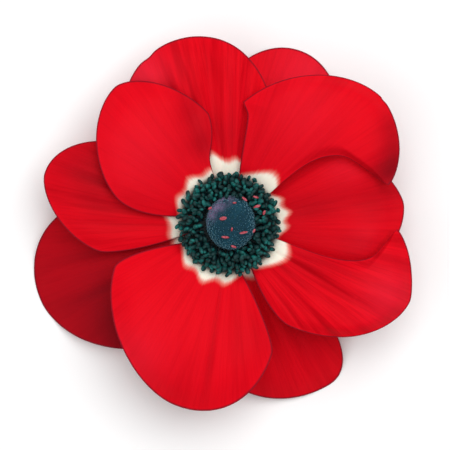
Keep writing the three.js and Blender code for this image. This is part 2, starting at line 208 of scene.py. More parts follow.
class TepalSettings(bpy.types.PropertyGroup):
    """Sizes and colours of the tepals"""

    thickness: length_property("Thickness", "Thickness of a tepal away from its margin", 0.00042)
    ruffle: length_property("Ruffle", "Height of the small waves along the margin", 0.00022)
    vein_relief: length_property("Vein Relief", "Height of the fine veins", 0.00003)
    red: colour_property("Red", "Main red of the tepals", (0.74, 0.002, 0.010))
    deep_red: colour_property("Deep Red", "Red between the veins", (0.52, 0.0, 0.005))
    # painted sheen: a pinkish highlight laid into the colour of some tepals
    glow: colour_property("Glow", "Pinkish sheen on some of the tepals", (0.76, 0.018, 0.042))
    # painted shade: the darkest red, laid on the lower tepals where they lie in shadow
    shade_red: colour_property("Shade Red", "Darkest red of the lower tepals", (0.20, 0.003, 0.008))
    # painted shade: a thin dark line along the margin, where it turns away
    painted_margin_shade: colour_property("Margin", "Thin dark line along the margin", (0.19, 0.006, 0.016))
    underside: colour_property("Underside", "Paler red of the back", (0.62, 0.07, 0.08))
    inmost: colour_property("Inmost", "Blackish foot of the tepals under the stamens",
                            (0.02, 0.03, 0.03))
    cream: colour_property("Cream", "White ring round the stamens", (0.92, 0.86, 0.73))
    pink: colour_property("Pink", "Where the white ring meets the red", (0.80, 0.22, 0.18))


class CentreSettings(bpy.types.PropertyGroup):
    """Sizes and colours of the stamens and the carpel head"""

    anther_length: length_property("Anther Length", "Length of an anther", 0.00150)
    anther_width: length_property("Anther Width", "Width of an anther", 0.00088)
    styles: IntProperty(name="Styles", description="Number of tiny styles on the carpel head",
                        default=420, min=0)
    anther: colour_property("Anther", "Dark green-black of the anthers", (0.0005, 0.026, 0.026))
    pollen: colour_property("Pollen", "Grey-green light on the anthers", (0.004, 0.150, 0.135))
    carpel: colour_property("Carpels", "Dark blue of the carpel head", (0.001, 0.030, 0.052))
    down: colour_property("Down", "Pale blue down on the carpel head", (0.008, 0.100, 0.150))
    # painted highlight: paler blue laid on where the dome turns away from the view
    rim: colour_property("Rim", "Paler blue where the dome turns away", (0.24, 0.50, 0.62))
    # painted highlight: a lavender flush laid on the upper left side of the dome
    flush: colour_property("Flush", "Lavender flush on one side of the dome", (0.30, 0.18, 0.34))
    fleck: colour_property("Flecks", "Pink flecks in the middle", (0.50, 0.11, 0.14))


class StalkSettings(bpy.types.PropertyGroup):
    """Sizes and colours of the stalk"""

    hair_length: length_property("Hair Length", "Length of the down on the stalk", 0.0009)
    green: colour_property("Green", "Green of the stalk", (0.17, 0.24, 0.065))
    purple: colour_property("Purple", "Purple flush on the stalk", (0.16, 0.055, 0.055))
    pith: colour_property("Pith", "Pale cut end of the stalk", (0.52, 0.56, 0.30))
    dark: colour_property("Dark", "Blackish top of the receptacle", (0.006, 0.016, 0.020))


# ---- mesh helpers ----------------------------------------------------------------------------


def smooth_rise(x, low, high):
    """0 below low, 1 above high and a smooth curve between: 3t^2 - 2t^3."""
    t = np.clip((x - low) / (high - low), 0.0, 1.0)
    return t * t * (3.0 - 2.0 * t)


def new_object(name, points, faces, attributes=None, smooth=True):
    """Makes a mesh object from millimetre points about the flower's axis, in one go.

    faces is a list of whole-number arrays, each with one row of corners for every face.
    """
    mesh = bpy.data.meshes.new(name)
    place = (np.asarray(points, float) + (AXIS_X, AXIS_Y, 0.0)) * MM
    corners = np.concatenate([np.ravel(f) for f in faces])
    sizes = np.concatenate([np.full(len(f), np.shape(f)[1]) for f in faces])
    mesh.vertices.add(len(place))
    mesh.vertices.foreach_set("co", place.ravel())
    mesh.loops.add(len(corners))
    mesh.loops.foreach_set("vertex_index", corners)
    mesh.polygons.add(len(sizes))
    mesh.polygons.foreach_set("loop_start", np.cumsum(sizes) - sizes)
    mesh.polygons.foreach_set("use_smooth", np.full(len(sizes), smooth))
    mesh.update(calc_edges=True)
    for key, values in (attributes or {}).items():
        if np.ndim(values) == 1:
            layer = mesh.attributes.new(key, "FLOAT", "POINT")
            layer.data.foreach_set("value", np.asarray(values, np.float32))
        else:
            layer = mesh.attributes.new(key, "FLOAT_VECTOR", "POINT")
            layer.data.foreach_set("vector", np.asarray(values, np.float32).ravel())
    mesh.validate()
    piece = bpy.data.objects.new(name, mesh)
    bpy.context.scene.collection.objects.link(piece)
    return piece


def hand_over(piece, material, slot, *nodes):
    """Gives a piece its material and its body, and hides the nodes it stands for; its slot is not
    used.
    """
    piece.data.materials.append(material)
    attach(piece, BODY)
    if nodes:
        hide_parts(*nodes)


def strip_faces(rows, columns, closed=True):
    """Quads of a grid of rows by columns, its columns joined round when closed."""
    r, c = np.meshgrid(np.arange(rows - 1), np.arange(columns if closed else columns - 1),
                       indexing="ij")
    n = (c + 1) % columns
    return np.stack([r * columns + c, r * columns + n, (r + 1) * columns + n,
                     (r + 1) * columns + c], -1).reshape(-1, 4)


def fan_faces(tip, start, count, forwards):
    """Triangles from a tip to the ring of count points that begins at start."""
    near = start + np.arange(count)
    far = start + (np.arange(count) + 1) % count
    return np.stack([np.full(count, tip), *((near, far) if forwards else (far, near))], -1)


def ring_directions(u, v, sides):
    """Unit vectors evenly round each pair of square directions, for round cross-sections."""
    around = np.linspace(0, 2 * np.pi, sides, endpoint=False)[None, :, None]
    return np.cos(around) * u[:, None] + np.sin(around) * v[:, None]


def repeated(faces, count, step):
    """The same faces for count copies of a shape with step points each."""
    return (np.asarray(faces)[None] + (np.arange(count) * step)[:, None, None]).reshape(
        -1, np.shape(faces)[1])


# ---- tepals ----------------------------------------------------------------------------------


def margin_of(shape, angle):
    """Margin of a tepal in its own plan frame, for angles round it from -pi to pi.

    Each outer quarter is a superellipse about the widest place. Each inner quarter is a cubic
    Bezier curve from the widest place to the claw, pulled in by the waist times
    sin(pi t^0.6)(1 - t^2), eased in. The whole blade is swept sideways by the square of the
    distance.
    """
    c, s = np.cos(angle), np.sin(angle)
    pick = s >= 0
    width, at, blunt, shoulder, waist = (
        np.where(pick, l, r) for l, r in zip(shape["left"], shape["right"]))
    power = 2.0 / blunt
    outer = np.maximum(c, 0.0) ** power
    t = np.clip(np.abs(angle) / (np.pi / 2) - 1.0, 0.0, 1.0)
    k = 1.0 - t
    inner_out = (k**3 * at + 3 * k * k * t * (at - shoulder * (at - BASE_RADIUS))
                 + (3 * k * t * t + t**3) * BASE_RADIUS)
    inner_across = (k**3 + 3 * k * k * t) * width + 3 * k * t * t * CLAW_HALF_WIDTH
    pull = np.sin(np.pi * t**0.6) * (1 - t * t) * smooth_rise(t, 0.0, 0.15)
    inner_across = inner_across - waist * pull
    out = np.where(c >= 0, at + (shape["length"] - at) * outer, inner_out)
    across = np.where(c >= 0, width * np.abs(s) ** power, inner_across)
    across = across * np.where(pick, 1.0, -1.0)
    along = (out - BASE_RADIUS) / (shape["length"] - BASE_RADIUS)
    across = across + shape["sweep"] * along**2
    share = np.ones_like(angle)
    for place, spread, depth in shape["dents"]:
        share = share - depth * np.exp(-(((np.degrees(angle) - place) / spread) ** 2))
    cx, cy = shape["centre"]
    return cx + (out - cx) * share, cy + (across - cy) * share


def sheet_height(shape, out, across, share):
    """Height of a tepal's middle surface.

    A cubic curve along the midrib, plus a parabola across it, a margin that rolls down, sine
    pleats that fan out from the base, and a few round swellings.
    """
    z0, z1, z2, z3 = shape["midrib"]
    t = np.maximum((out - BASE_RADIUS) / (shape["length"] - BASE_RADIUS), 0.0)
    k = 1.0 - t
    height = k**3 * z0 + 3 * k * k * t * z1 + 3 * k * t * t * z2 + t**3 * z3
    left, right = shape["left"][0], shape["right"][0]
    height = height + np.where(across >= 0, shape["cup"][0] * (across / left) ** 2,
                               shape["cup"][1] * (across / right) ** 2)
    roll = smooth_rise(share, MARGIN_FROM, 1.0) ** 2 * smooth_rise(t, 0.15, 0.6)
    height = height - shape["roll"] * roll
    depth, count, phase = shape["pleats"]
    fan = np.arctan2(across, out + 2.0)
    height = height + depth * np.sin(count * fan + phase) * smooth_rise(t, 0.1, 0.45)
    for x, y, radius, rise in shape["swellings"]:
        height = height + rise * np.exp(-((out - x) ** 2 + (across - y) ** 2) / radius**2)
    return height


def groove(shape, out, across):
    """Depth of the creases: Gaussians across the fan angle, deepest two thirds of the way out."""
    fan = np.degrees(np.arctan2(across, out + 2.0))
    t = (out - BASE_RADIUS) / (shape["length"] - BASE_RADIUS)
    depth = np.zeros_like(fan)
    for place, spread, deep in shape["creases"]:
        depth = depth + deep * np.exp(-(((fan - place) / spread) ** 2))
    return depth * smooth_rise(t, 0.08, 0.4) * (1.0 - 0.7 * smooth_rise(t, 0.65, 1.0))


def patches(spots, out, across):
    """Sum of round Gaussian patches, each (distance, sideways, radius, depth)."""
    total = np.zeros_like(out)
    for x, y, radius, deep in spots:
        total = total + deep * np.exp(-((out - x) ** 2 + (across - y) ** 2) / radius**2)
    return total


def dusk_of(shape, out, across):
    """Painted shade: how far the red is deepened, all over, in patches and along each crease."""
    dusk = 0.35 * groove(shape, out, across) + patches(shape["dusk"], out, across)
    return np.clip(dusk + shape["shade"], 0.0, 1.0)


def white_base(shape, out, across):
    """1 on the white base, falling to 0 beyond its scalloped edge, for the ring of white."""
    reach, half, lobes, depth = shape["ring"]
    q = across / half
    edge = reach - 1.5 * q**2 + depth * np.cos(np.pi * lobes * q) - depth
    return 1.0 - smooth_rise(np.hypot(out, across) - edge, -1.3, 1.5)


def tepal_mesh(name, shape, settings):
    """A tepal as a closed sheet: rings from the middle out to the margin, above and below."""
    sectors, rings = TEPAL_SECTORS, TEPAL_RINGS
    thickness = settings.thickness / MM
    rng = np.random.default_rng(shape["seed"])
    angle = np.linspace(-np.pi, np.pi, sectors, endpoint=False)
    share = np.sin(np.linspace(0.0, np.pi / 2, rings + 1)[1:]) ** 0.85
    edge_out, edge_across = margin_of(shape, angle)
    cx, cy = shape["centre"]
    out = cx + np.outer(share, edge_out - cx)
    across = cy + np.outer(share, edge_across - cy)
    rim = np.repeat(share[:, None], sectors, 1)
    phases = rng.uniform(0, 2 * np.pi, 6)

    def height(o, a, s):
        """The sheet's height with the fine veins and the small waves along its margin."""
        fan = np.arctan2(a, o + 2.0)
        t = (o - BASE_RADIUS) / (shape["length"] - BASE_RADIUS)
        veins = np.sin(95 * fan + 0.6 * np.sin(0.25 * o + phases[0]) + phases[1])
        veins = veins * (0.6 + 0.4 * np.sin(31 * fan + phases[2]))
        waves = np.sin(11 * fan + 0.11 * o + phases[3]) + 0.6 * np.sin(23 * fan + phases[4])
        relief = settings.vein_relief / MM * veins * smooth_rise(t, 0.05, 0.3)
        ruffle = settings.ruffle / MM * waves * s**5 * smooth_rise(t, 0.3, 0.8)
        level = sheet_height(shape, o, a, s) + relief + ruffle - groove(shape, o, a) - LOWEST
        return LOWEST + (level + np.hypot(level, 0.1)) / 2

    z = height(out, across, rim)
    z_centre = float(height(np.array(cx, float), np.array(cy, float), np.array(0.0)))
    half = thickness / 2 * (1.0 - 0.62 * smooth_rise(rim, 0.86, 1.0))
    turn = math.radians(shape["azimuth"])

    def placed(o, a, h):
        return np.stack([o * math.cos(turn) - a * math.sin(turn),
                         o * math.sin(turn) + a * math.cos(turn), h], -1).reshape(-1, 3)

    lip = 1.0 + 0.08 / np.maximum(np.hypot(edge_out - cx, edge_across - cy), 1.0)
    lip_out, lip_across = cx + (edge_out - cx) * lip, cy + (edge_across - cy) * lip
    layers = [
        placed(np.array([cx]), np.array([cy]), np.array([z_centre + thickness / 2])),
        placed(out, across, z + half),
        placed(lip_out, lip_across, z[-1]),
        placed(out[::-1], across[::-1], (z - half)[::-1]),
        placed(np.array([cx]), np.array([cy]), np.array([z_centre - thickness / 2])),
    ]
    points = np.concatenate(layers)
    all_out = np.concatenate([[cx], out.ravel(), lip_out, out[::-1].ravel(), [cx]])
    all_across = np.concatenate([[cy], across.ravel(), lip_across, across[::-1].ravel(), [cy]])
    all_rim = np.concatenate([[0], rim.ravel(), np.ones(sectors), rim[::-1].ravel(), [0]])
    grid = strip_faces(2 * rings + 1, sectors) + 1
    last = len(points) - 1
    faces = [fan_faces(0, 1, sectors, True), grid[:, [0, 3, 2, 1]],
             fan_faces(last, last - sectors, sectors, False)]
    fan = np.arctan2(all_across, all_out + 2.0)
    back = np.concatenate([np.zeros(1 + rings * sectors), np.full(sectors, 0.5),
                           np.ones(rings * sectors + 1)])
    attributes = {
        "vein": np.stack([fan, all_out, np.full(len(points), float(shape["seed"]))], -1),
        "white": white_base(shape, all_out, all_across),
        "foot": 1.0 - smooth_rise(np.hypot(all_out, all_across), 9.4, 10.5),
        "rim": all_rim,
        "back": back,
        # painted shade, carried to the material as a deeper red
        "shade": dusk_of(shape, all_out, all_across),
        "streak": np.full(len(points), shape["streak"]),
        # painted pinkish sheen, laid on in patches
        "glow": patches(shape["glow"], all_out, all_across),
    }
    return new_object(name, points, faces, attributes)


# ---- stamens ---------------------------------------------------------------------------------


def frames_along(directions):
    """Two unit vectors square to each direction, the first one level."""
    d = directions / np.linalg.norm(directions, axis=1, keepdims=True)
    level = np.cross(np.array([0.0, 0.0, 1.0]), d)
    level = level / np.linalg.norm(level, axis=1, keepdims=True)
    return d, level, np.cross(d, level)


def stamen_centres(rows, seed):
    """Feet and tips of the stamens of some rows, evenly spread with a little scatter."""
    rng = np.random.default_rng(seed)
    feet, tips = [], []
    for row in rows:
        n = row["count"]
        azimuth = (np.arange(n) + rng.uniform(-0.28, 0.28, n)) * 2 * np.pi / n + rng.uniform(0, 6)
        reach = rng.uniform(*row["reach"], n)
        top = rng.uniform(*row["top"], n)
        foot_azimuth = azimuth + rng.uniform(-0.05, 0.05, n)
        foot = np.full(n, row["start"])
        feet.append(np.stack([foot * np.cos(foot_azimuth), foot * np.sin(foot_azimuth),
                              np.full(n, RECEPTACLE_TOP - 0.15)], -1))
        tips.append(np.stack([reach * np.cos(azimuth), reach * np.sin(azimuth), top], -1))
    return np.concatenate(feet), np.concatenate(tips), rng


FILAMENT_RADII = (0.17, 0.09)  # at the foot and at the anther


def filaments(feet, tips):
    """Round tapering threads along parabolas that leave the receptacle upright and lean out."""
    steps, sides = 4, 4
    t = np.linspace(0.0, 1.0, steps)[None, :, None]
    bend = (feet + tips) / 2
    bend[:, 2] += 0.12 * (tips[:, 2] - feet[:, 2])
    bend[:, :2] = feet[:, :2] * 0.75 + tips[:, :2] * 0.25
    line = ((1 - t) ** 2 * feet[:, None] + 2 * t * (1 - t) * bend[:, None] + t * t * tips[:, None])
    _, u, v = frames_along(tips - feet)
    radius = np.linspace(*FILAMENT_RADII, steps)[None, :, None, None]
    points = line[:, :, None] + radius * ring_directions(u, v, sides)[:, None]
    count = len(feet)
    body = repeated(strip_faces(steps, sides), count, steps * sides)
    foot_cap = repeated([np.arange(sides)[::-1]], count, steps * sides)
    tip_cap = repeated([np.arange(sides) + (steps - 1) * sides], count, steps * sides)
    return points.reshape(-1, 3), [body, foot_cap, tip_cap]


def anthers(feet, tips, length, width, rng):
    """Two-lobed pollen sacs: an ellipsoid whose girth is 1 + 0.22 cos(2 angle), pinched ends."""
    steps, sides = 6, 8
    count = len(tips)
    lean = tips - feet
    lean = lean / np.linalg.norm(lean, axis=1, keepdims=True) + rng.normal(0, 0.55, (count, 3))
    d, u, v = frames_along(lean)
    spin = rng.uniform(0, np.pi, count)[:, None]
    u, v = u * np.cos(spin) + v * np.sin(spin), v * np.cos(spin) - u * np.sin(spin)
    size = rng.uniform(0.82, 1.12, count)[:, None, None, None]
    t = np.linspace(0, np.pi, steps)[1:-1]
    girth = np.sin(t) ** 0.75
    around = np.linspace(0, 2 * np.pi, sides, endpoint=False)
    lobes = 1.0 + 0.22 * np.cos(2 * around)
    radial = (width / 2 * girth[:, None] * lobes[None])[None, :, :, None]
    ring = ring_directions(u, v, sides)[:, None]
    axis = (-np.cos(t) * length / 2)[None, :, None, None] * d[:, None, None]
    body = tips[:, None, None] + size * (radial * ring + axis)
    ends = tips[:, None] + size[:, 0] * np.array([-1, 1])[None, :, None] * length / 2 * d[:, None]
    inner = steps - 2
    points = np.concatenate([body.reshape(count, -1, 3), ends], 1)
    step = inner * sides + 2
    low = fan_faces(step - 2, 0, sides, False)
    high = fan_faces(step - 1, (inner - 1) * sides, sides, True)
    faces = [repeated(f, count, step) for f in (strip_faces(inner, sides), low, high)]
    return points.reshape(-1, 3), faces


def joined(*shapes):
    """Points and faces of several shapes as one list of each, with a kind number per point."""
    points, faces, kinds, base = [], [], [], 0
    for kind, (p, f) in enumerate(shapes):
        points.append(p)
        faces.extend(part + base for part in f)
        kinds.append(np.full(len(p), float(kind)))
        base += len(p)
    return np.concatenate(points), faces, np.concatenate(kinds)


# ---- carpel head and flecks ------------------------------------------------------------------


HEAD_UPPER_SHARE = 0.56  # of the head's height that stands above its widest level
HEAD_INSET = 0.96  # of its half sizes, which leaves room for the styles
DOME_CLEARANCE = 0.02
CARPELS = 330


def lattice_directions(count, lowest):
    """Directions spread evenly over a cap by the golden angle, down to a lowest height."""
    i = np.arange(count) + 0.5
    z = 1.0 - (1.0 - lowest) * i / count
    azimuth = i * np.pi * (3.0 - math.sqrt(5.0))
    r = np.sqrt(1.0 - z * z)
    return np.stack([r * np.cos(azimuth), r * np.sin(azimuth), z], -1)


def head_surface(directions):
    """The egg: directions scaled to the head's box about a middle a little below its own."""
    low, high = (np.array(corner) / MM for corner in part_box("carpel_head"))
    tall = high[2] - low[2]
    middle = np.array([HEAD_X - AXIS_X, HEAD_Y - AXIS_Y, low[2] + (1 - HEAD_UPPER_SHARE) * tall])
    half = np.array([(high[0] - low[0]) / 2, (high[1] - low[1]) / 2, HEAD_UPPER_SHARE * tall])
    return middle, half, middle + directions * half * HEAD_INSET


def carpel_mesh():
    """The dome, dimpled between its carpels: each swells by a Gaussian about its own direction."""
    rows, columns = 90, 150
    polar = np.linspace(0.0, 2.45, rows + 1)[1:]
    around = np.linspace(0, 2 * np.pi, columns, endpoint=False)
    d = np.stack([np.outer(np.sin(polar), np.cos(around)), np.outer(np.sin(polar), np.sin(around)),
                  np.repeat(np.cos(polar)[:, None], columns, 1)], -1).reshape(-1, 3)
    seeds = lattice_directions(CARPELS, -0.6)
    nearest = (d @ seeds.T).max(1)
    bump = np.exp(-(1.0 - nearest) / 0.0028)
    middle, half, points = head_surface(d)
    swell = (bump - 0.45)[:, None] * 0.24
    points = points + d * swell
    points[:, 2] = np.maximum(points[:, 2], RECEPTACLE_TOP + DOME_CLEARANCE)
    top = middle + np.array([[0.0, 0.0, half[2] * HEAD_INSET + 0.12]])
    foot = np.array([[middle[0], middle[1], RECEPTACLE_TOP + DOME_CLEARANCE]])
    points = np.concatenate([top, points, foot])
    grid = strip_faces(rows, columns) + 1
    last = len(points) - 1
    faces = [fan_faces(0, 1, columns, True), grid[:, [0, 3, 2, 1]],
             fan_faces(last, last - columns, columns, False)]
    bumps = np.concatenate([[1.0], bump, [0.0]])
    return points, faces, bumps


def style_mesh(count, rng):
    """Tiny styles: cones that stand out of the dome and hook over towards one side."""
    d = lattice_directions(count, -0.25)
    d = d + rng.normal(0, 0.03, d.shape)
    d = d / np.linalg.norm(d, axis=1, keepdims=True)
    _, half, root = head_surface(d)
    normal = d / half
    normal = normal / np.linalg.norm(normal, axis=1, keepdims=True)
    tilt = normal + rng.normal(0, 0.45, d.shape)
    tilt = tilt / np.linalg.norm(tilt, axis=1, keepdims=True)
    reach = rng.uniform(0.18, 0.36, count)[:, None]
    middle_points = root + normal * reach * 0.6
    tips = middle_points + tilt * reach * 0.55
    _, u, v = frames_along(normal + np.array([1e-4, 0, 0]))
    sides = 4
    ring = ring_directions(u, v, sides)
    foot = (root - normal * 0.08)[:, None] + 0.085 * ring
    neck = middle_points[:, None] + 0.06 * ring
    points = np.concatenate([foot, neck, tips[:, None]], 1)
    step = 2 * sides + 1
    j = np.arange(sides)
    body = strip_faces(2, sides)
    cap = np.stack([sides + j, sides + (j + 1) % sides, np.full(sides, 2 * sides)], -1)
    base = [[3, 2, 1, 0]]
    faces = [repeated(f, count, step) for f in (body, cap, base)]
    return points.reshape(-1, 3), faces


# Pink flecks: azimuth and distance from the axis, length, width, how they are turned, height.
FLECKS = [
    (135, 1.6, 1.5, 0.75, 10, 0.0), (255, 2.7, 1.6, 0.5, -5, 0.0), (330, 3.4, 1.7, 0.5, 12, 0.0),
    (345, 5.2, 0.9, 0.45, 60, 0.0), (58, 5.9, 1.3, 0.5, -40, 0.3), (32, 6.6, 1.5, 0.6, 20, 0.3),
    (18, 7.4, 1.0, 0.5, 70, 0.3), (45, 7.6, 1.2, 0.45, -15, 0.3), (140, 4.9, 0.9, 0.5, 30, 0.0),
    (282, 4.6, 1.2, 0.5, -20, 0.0), (300, 1.2, 0.8, 0.4, 80, 0.0), (75, 4.4, 0.8, 0.4, 0, 0.0),
]


def head_top_at(x, y):
    """Height of the dome over a plan place, or the anthers' level beyond its edge."""
    middle, half, _ = head_surface(np.zeros((1, 3)))
    inside = 1.0 - ((x - middle[0]) / half[0]) ** 2 - ((y - middle[1]) / half[1]) ** 2
    dome = middle[2] + half[2] * np.sqrt(np.maximum(inside, 0.0))
    return np.where(inside > 0.12, dome, 17.0)


def fleck_mesh():
    """Curled scraps: flattened ellipsoids bent down at their ends by a parabola."""
    azimuth, distance, length, width, turn, lift = np.array(FLECKS, float).T
    x = distance * np.cos(np.radians(azimuth))
    y = distance * np.sin(np.radians(azimuth))
    z = head_top_at(x, y) + 0.22 + lift * 0.3
    steps, sides = 11, 10
    t = np.linspace(0, np.pi, steps)[1:-1]
    around = np.linspace(0, 2 * np.pi, sides, endpoint=False)
    count = len(FLECKS)
    along = -np.cos(t)[None, :, None] * (length / 2)[:, None, None]
    girth = np.sin(t)[None, :, None]
    side = girth * np.cos(around)[None, None] * (width / 2)[:, None, None]
    high = girth * np.sin(around)[None, None] * 0.16
    bend = -0.35 * (along / (length / 2)[:, None, None]) ** 2 * (length / 4)[:, None, None]
    bend = np.broadcast_to(bend, side.shape)
    along = np.broadcast_to(along, side.shape)
    a = np.radians(turn)[:, None, None]
    body = np.stack([x[:, None, None] + along * np.cos(a) - side * np.sin(a),
                     y[:, None, None] + along * np.sin(a) + side * np.cos(a),
                     z[:, None, None] + high + bend], -1).reshape(count, -1, 3)
    a = np.radians(turn)
    ends = []
    for sign in (-1, 1):
        ends.append(np.stack([x + sign * length / 2 * np.cos(a), y + sign * length / 2 * np.sin(a),
                              z - 0.35 * length / 4], -1)[:, None])
    points = np.concatenate([body, *ends], 1)
    inner = steps - 2
    step = inner * sides + 2
    low = fan_faces(step - 2, 0, sides, False)
    high = fan_faces(step - 1, (inner - 1) * sides, sides, True)
    faces = [repeated(f, count, step) for f in (strip_faces(inner, sides), low, high)]
    return points.reshape(-1, 3), faces


# ---- stalk -----------------------------------------------------------------------------------

# Distance from the axis and level of the stalk's outside, from the middle of its cut end up.
STALK_PROFILE = [
    (0.0, 0.12), (0.55, 0.06), (1.5, 0.02), (1.95, 0.0), (2.12, 0.22), (2.08, 1.0), (2.0, 2.6),
    (2.02, 4.2), (2.2, 5.6), (2.7, 6.7), (3.4, 7.8), (3.78, 8.8), (3.8, 11.0), (5.2, 11.55),
    (6.7, 12.0), (6.88, 12.2), (6.7, 12.38), (4.0, 12.4), (0.0, 12.4),
]


def stalk_mesh():
    """A turned profile, ribbed lengthwise: its radius times 1 + 0.035 cos(9 angle) low down."""
    columns = 90
    profile = np.array(STALK_PROFILE)
    run = np.concatenate([[0], np.cumsum(np.hypot(*np.diff(profile, axis=0).T))])
    fine = np.unique(np.concatenate([run, np.linspace(0, run[-1], 110)]))[1:-1]
    radius = np.interp(fine, run, profile[:, 0])
    level = np.interp(fine, run, profile[:, 1])
    around = np.linspace(0, 2 * np.pi, columns, endpoint=False)
    low = (1.0 - smooth_rise(level, 6.0, 9.0)) * smooth_rise(level, 0.1, 0.6)
    ribs = 1.0 + 0.022 * np.outer(low, np.cos(9 * around) + 0.4 * np.cos(4 * around + 1.0))
    r = radius[:, None] * ribs
    points = np.stack([r * np.cos(around), r * np.sin(around),
                       np.repeat(level[:, None], columns, 1)], -1).reshape(-1, 3)
    ends = np.array([[0, 0, profile[0, 1]], [0, 0, profile[-1, 1]]])
    points = np.concatenate([ends[:1], points, ends[1:]])
    last = len(points) - 1
    return points, [fan_faces(0, 1, columns, False), strip_faces(len(fine), columns) + 1,
                    fan_faces(last, last - columns, columns, True)]


def hair_mesh(length, count=260):
    """Down on the stalk: three-sided spikes, square to it and drooping a little."""
    rng = np.random.default_rng(31)
    level = rng.uniform(0.5, 7.6, count)
    around = rng.uniform(0, 2 * np.pi, count)
    profile = np.array(STALK_PROFILE[4:13])
    radius = np.interp(level, profile[:, 1], profile[:, 0])
    outwards = np.stack([np.cos(around), np.sin(around), rng.uniform(-0.5, 0.2, count)], -1)
    outwards = outwards + rng.normal(0, 0.2, outwards.shape)
    root = np.stack([radius * np.cos(around), radius * np.sin(around), level], -1)
    d, u, v = frames_along(outwards)
    size = length * rng.uniform(0.5, 1.0, count)[:, None]
    foot = root - d * 0.1
    ring = 0.035 * ring_directions(u, v, 3)
    points = np.concatenate([foot[:, None] + ring, (root + d * size)[:, None]], 1)
    faces = repeated([[2, 1, 0], [0, 1, 3], [1, 2, 3], [2, 0, 3]], count, 4)
    return points.reshape(-1, 3), [faces]


# ---- materials -------------------------------------------------------------------------------


class Nodes:
    """A few short words for building a material's node tree."""

    def __init__(self, name, roughness, specular=0.35):
        self.material = bpy.data.materials.new(name)
        self.material.use_nodes = True
        self.tree = self.material.node_tree
        self.shader = self.tree.nodes["Principled BSDF"]
        self.shader.inputs["Roughness"].default_value = roughness
        self.shader.inputs["Specular IOR Level"].default_value = specular

    def add(self, kind, **values):
        node = self.tree.nodes.new(kind)
        for key, value in values.items():
            setattr(node, key, value)
        return node

    def link(self, source, target):
        self.tree.links.new(source, target)
        return target

    def attribute(self, name, output="Fac"):
        return self.add("ShaderNodeAttribute", attribute_name=name).outputs[output]

    def object_coordinates(self):
        return self.add("ShaderNodeTexCoord").outputs["Object"]

    def scaled(self, vector, scale):
        node = self.add("ShaderNodeMapping")
        self.link(vector, node.inputs["Vector"])
        node.inputs["Scale"].default_value = scale
        return node.outputs["Vector"]

    def noise(self, vector, scale, detail=3.0, roughness=0.5):
        node = self.add("ShaderNodeTexNoise")
        self.link(vector, node.inputs["Vector"])
        node.inputs["Scale"].default_value = scale
        node.inputs["Detail"].default_value = detail
        node.inputs["Roughness"].default_value = roughness
        return node.outputs["Fac"]

    def ramp(self, value, low, high, start=0.0, end=1.0):
        node = self.add("ShaderNodeMapRange", interpolation_type="SMOOTHSTEP")
        self.link(value, node.inputs["Value"])
        node.inputs["From Min"].default_value = low
        node.inputs["From Max"].default_value = high
        node.inputs["To Min"].default_value = start
        node.inputs["To Max"].default_value = end
        return node.outputs["Result"]

    def maths(self, operation, a, b):
        node = self.add("ShaderNodeMath", operation=operation)
        for socket, value in zip(node.inputs, (a, b)):
            if isinstance(value, (int, float)):
                socket.default_value = value
            else:
                self.link(value, socket)
        return node.outputs["Value"]

    def mix(self, factor, a, b, blend="MIX"):
        node = self.add("ShaderNodeMix", data_type="RGBA", blend_type=blend)
        for socket, value in zip((node.inputs[0], node.inputs[6], node.inputs[7]), (factor, a, b)):
            if isinstance(value, (int, float)):
                socket.default_value = value
            elif isinstance(value, bpy.types.NodeSocket):
                self.link(value, socket)
            else:
                socket.default_value = (*value, 1.0)
        return node.outputs[2]

    def bump(self, height, strength, distance):
        node = self.add("ShaderNodeBump")
        node.inputs["Strength"].default_value = strength
        node.inputs["Distance"].default_value = distance
        self.link(height, node.inputs["Height"])
        self.link(node.outputs["Normal"], self.shader.inputs["Normal"])

    def colour(self, socket):
        self.link(socket, self.shader.inputs["Base Color"])


